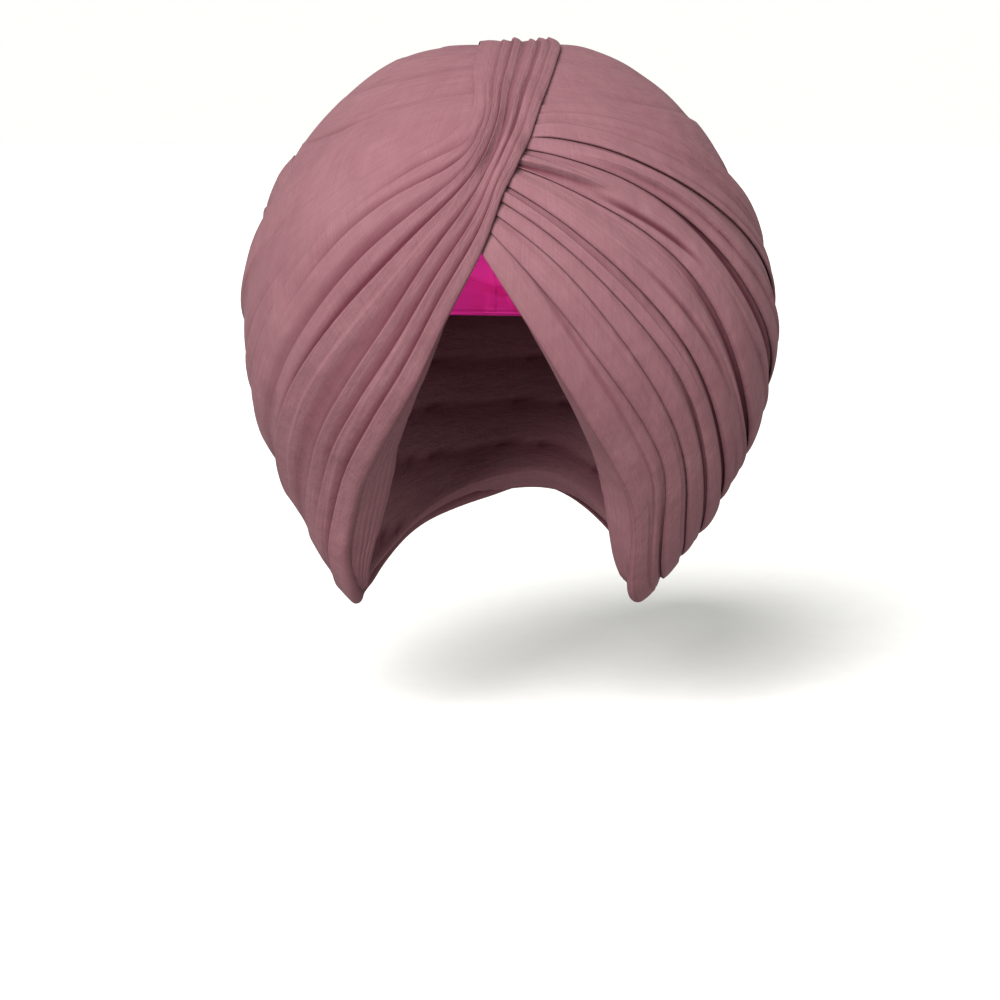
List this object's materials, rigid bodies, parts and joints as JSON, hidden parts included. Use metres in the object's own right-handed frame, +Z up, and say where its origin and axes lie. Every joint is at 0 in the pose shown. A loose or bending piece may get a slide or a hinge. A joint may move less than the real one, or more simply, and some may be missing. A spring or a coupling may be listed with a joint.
{
  "type": "turban",
  "caption": "Wound cloth turban holding its worn form: pointed opening at the brow, pleated side, band over the crown, turns stepped round the back, contrasting band beneath.",
  "frame": {"origin": "middle of the head opening, level with the lower edge of the under band at the brow", "axes": "+Z up towards the crown, -Y the way the wearer faces, +X the wearer's left"},
  "size_m": [0.2571, 0.2675, 0.2689],
  "materials": {
    "turban cloth": "matt fine cotton voile, dusty mauve",
    "inner cloth": "matt fine cotton voile, dusty mauve in shade",
    "under band cloth": "matt cotton, deep magenta"
  },
  "bodies": {
    "root": {"inner_turns": "inner cloth", "under_band": "under band cloth", "crown_cover": "turban cloth", "upper_turn_1": "turban cloth", "upper_turn_2": "turban cloth", "upper_turn_3": "turban cloth", "right_turn_1": "turban cloth", "right_turn_2": "turban cloth", "right_turn_3": "turban cloth", "right_turn_4": "turban cloth", "right_turn_5": "turban cloth", "right_turn_6": "turban cloth", "right_turn_7": "turban cloth", "final_turn": "turban cloth"}
  },
  "joints": []
}
